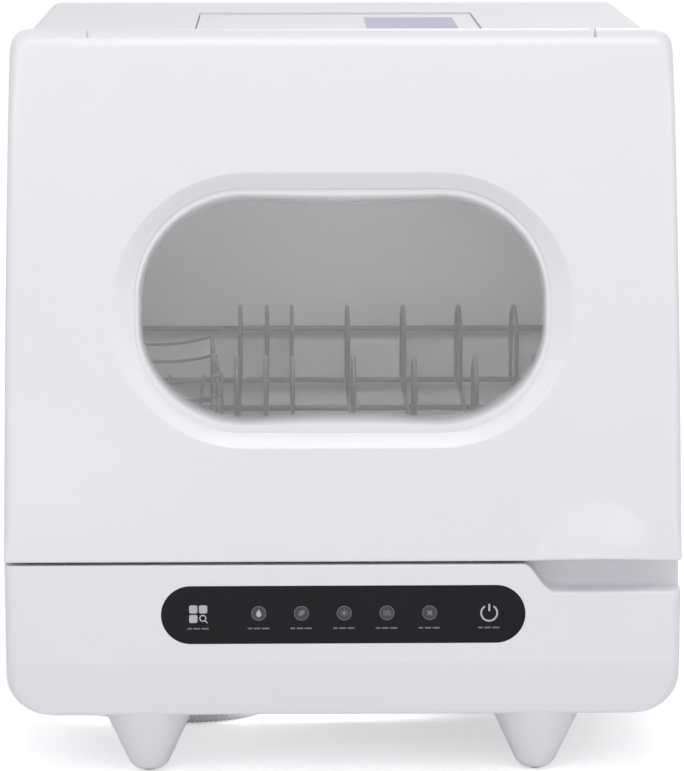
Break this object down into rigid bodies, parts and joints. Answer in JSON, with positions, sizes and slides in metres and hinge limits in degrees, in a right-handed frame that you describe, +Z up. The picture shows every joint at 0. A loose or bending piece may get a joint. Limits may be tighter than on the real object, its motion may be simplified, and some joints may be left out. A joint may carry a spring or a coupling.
{
  "type": "countertop dishwasher",
  "caption": "Countertop dishwasher with a flip-up windowed door, coupled pull-out rack, spray arms, pumps, top fill lid, tank and drain hose.",
  "frame": {"origin": "on the floor under the middle of the machine", "axes": "+X to the right seen from the door, +Y to the back, +Z up"},
  "size_m": [0.42, 0.5255, 0.4665],
  "materials": {
    "white_shell": "satin moulded white",
    "inner_white": "matt moulded white",
    "black_gloss": "gloss black film",
    "circuit_board": "green lacquer",
    "rubber_dark": "matt",
    "steel_sheet": "plain zinc",
    "screw_steel": "plain",
    "rack_wire": "satin wire",
    "tub_grey": "satin grey",
    "gasket_grey": "matt",
    "arm_grey": "satin grey",
    "dark_plastic": "matt",
    "glass": "clear, printed border",
    "label_tint": "satin film",
    "motor_steel": "satin",
    "heater_tube": "heat-tinted",
    "tank_clear": "milky",
    "lamp_lens": "frosted",
    "loom_sleeve": "braided",
    "hose_grey": "corrugated",
    "inner_hose": "matt"
  },
  "bodies": {
    "root": {"base_shell": "white_shell", "foot_pads": "rubber_dark", "floor_plate": "steel_sheet", "floor_screws": "screw_steel", "casing": "white_shell", "rear_cover": "white_shell", "rear_screws": "screw_steel", "lid_pin": "screw_steel", "control_panel": "black_gloss", "control_board": "circuit_board", "hinge_leaves": "steel_sheet", "magnet_catch": "dark_plastic", "tub": "tub_grey", "tub_gasket": "gasket_grey", "tub_supports": "steel_sheet", "arm_hub": "arm_grey", "upper_feed": "arm_grey", "rack_rails": "arm_grey", "sump": "tub_grey", "filter_plate": "steel_sheet", "pump_volute": "inner_white", "wash_motor": "motor_steel", "drain_pump": "inner_white", "heater": "heater_tube", "water_tank": "tank_clear", "fill_funnel": "inner_white", "tank_hose": "inner_hose", "drain_pipe": "inner_hose", "fan_housing": "dark_plastic", "lamp": "lamp_lens", "power_board": "circuit_board", "wiring_loom": "loom_sleeve", "inlet_valve": "inner_white", "drain_spout": "arm_grey", "power_inlet": "dark_plastic", "drain_hose": "hose_grey", "hose_coil": "hose_grey", "hose_end": "dark_plastic"},
    "door": {"door_outer": "white_shell", "door_inner": "inner_white", "window_glass": "glass", "window_seal": "rubber_dark", "hinge_pins": "screw_steel", "strike_plate": "steel_sheet"},
    "rack": {"dish_rack": "rack_wire", "rack_glides": "arm_grey"},
    "basket": {"cutlery_basket": "rack_wire"},
    "lower_arm": {"lower_arm": "arm_grey"},
    "upper_arm": {"upper_arm": "arm_grey"},
    "fill_lid": {"fill_lid": "white_shell", "lid_label": "label_tint"},
    "filter_cup": {"filter_cup": "arm_grey"},
    "float": {"float": "arm_grey"},
    "wash_impeller": {"wash_impeller": "dark_plastic"},
    "drain_impeller": {"drain_impeller": "dark_plastic"},
    "fan_wheel": {"fan_wheel": "arm_grey"}
  },
  "joints": [
    {"name": "door_hinge", "type": "hinge", "parent": "root", "child": "door", "pos_m": [0, -0.139, 0.4515], "axis": [-1, 0, 0], "range_deg": [0, 100]},
    {"name": "rack_slide", "type": "slide", "parent": "root", "child": "rack", "axis": [0, -1, 0], "range_m": [0, 0.1801]},
    {"name": "basket_lift", "type": "slide", "parent": "rack", "child": "basket", "axis": [0, 0, 1], "range_m": [0, 0.06]},
    {"name": "lower_arm_spin", "type": "hinge", "parent": "root", "child": "lower_arm", "pos_m": [0, -0.015, 0.177], "axis": [0, 0, 1], "continuous": true},
    {"name": "upper_arm_spin", "type": "hinge", "parent": "root", "child": "upper_arm", "pos_m": [0, -0.015, 0.412], "axis": [0, 0, 1], "continuous": true},
    {"name": "fill_lid_hinge", "type": "hinge", "parent": "root", "child": "fill_lid", "pos_m": [0, 0.1055, 0.4523], "axis": [-1, 0, 0], "range_deg": [0, 92]},
    {"name": "filter_twist", "type": "hinge", "parent": "root", "child": "filter_cup", "pos_m": [0.074, -0.078, 0.14], "axis": [0, 0, 1], "range_deg": [0, 45]},
    {"name": "float_rise", "type": "slide", "parent": "root", "child": "float", "axis": [0, 0, 1], "range_m": [0, 0.008]},
    {"name": "wash_impeller_spin", "type": "hinge", "parent": "root", "child": "wash_impeller", "pos_m": [-0.078, -0.005, 0.096], "axis": [1, 0, 0], "continuous": true},
    {"name": "drain_impeller_spin", "type": "hinge", "parent": "root", "child": "drain_impeller", "pos_m": [0.128, -0.05, 0.118], "axis": [1, 0, 0], "continuous": true},
    {"name": "fan_spin", "type": "hinge", "parent": "root", "child": "fan_wheel", "pos_m": [0.16, 0.17, 0.37], "axis": [0, 1, 0], "continuous": true}
  ],
  "couplings": [
    {"joint": "rack_slide", "follows": "door_hinge", "m_per_rad": 0.10313}
  ]
}
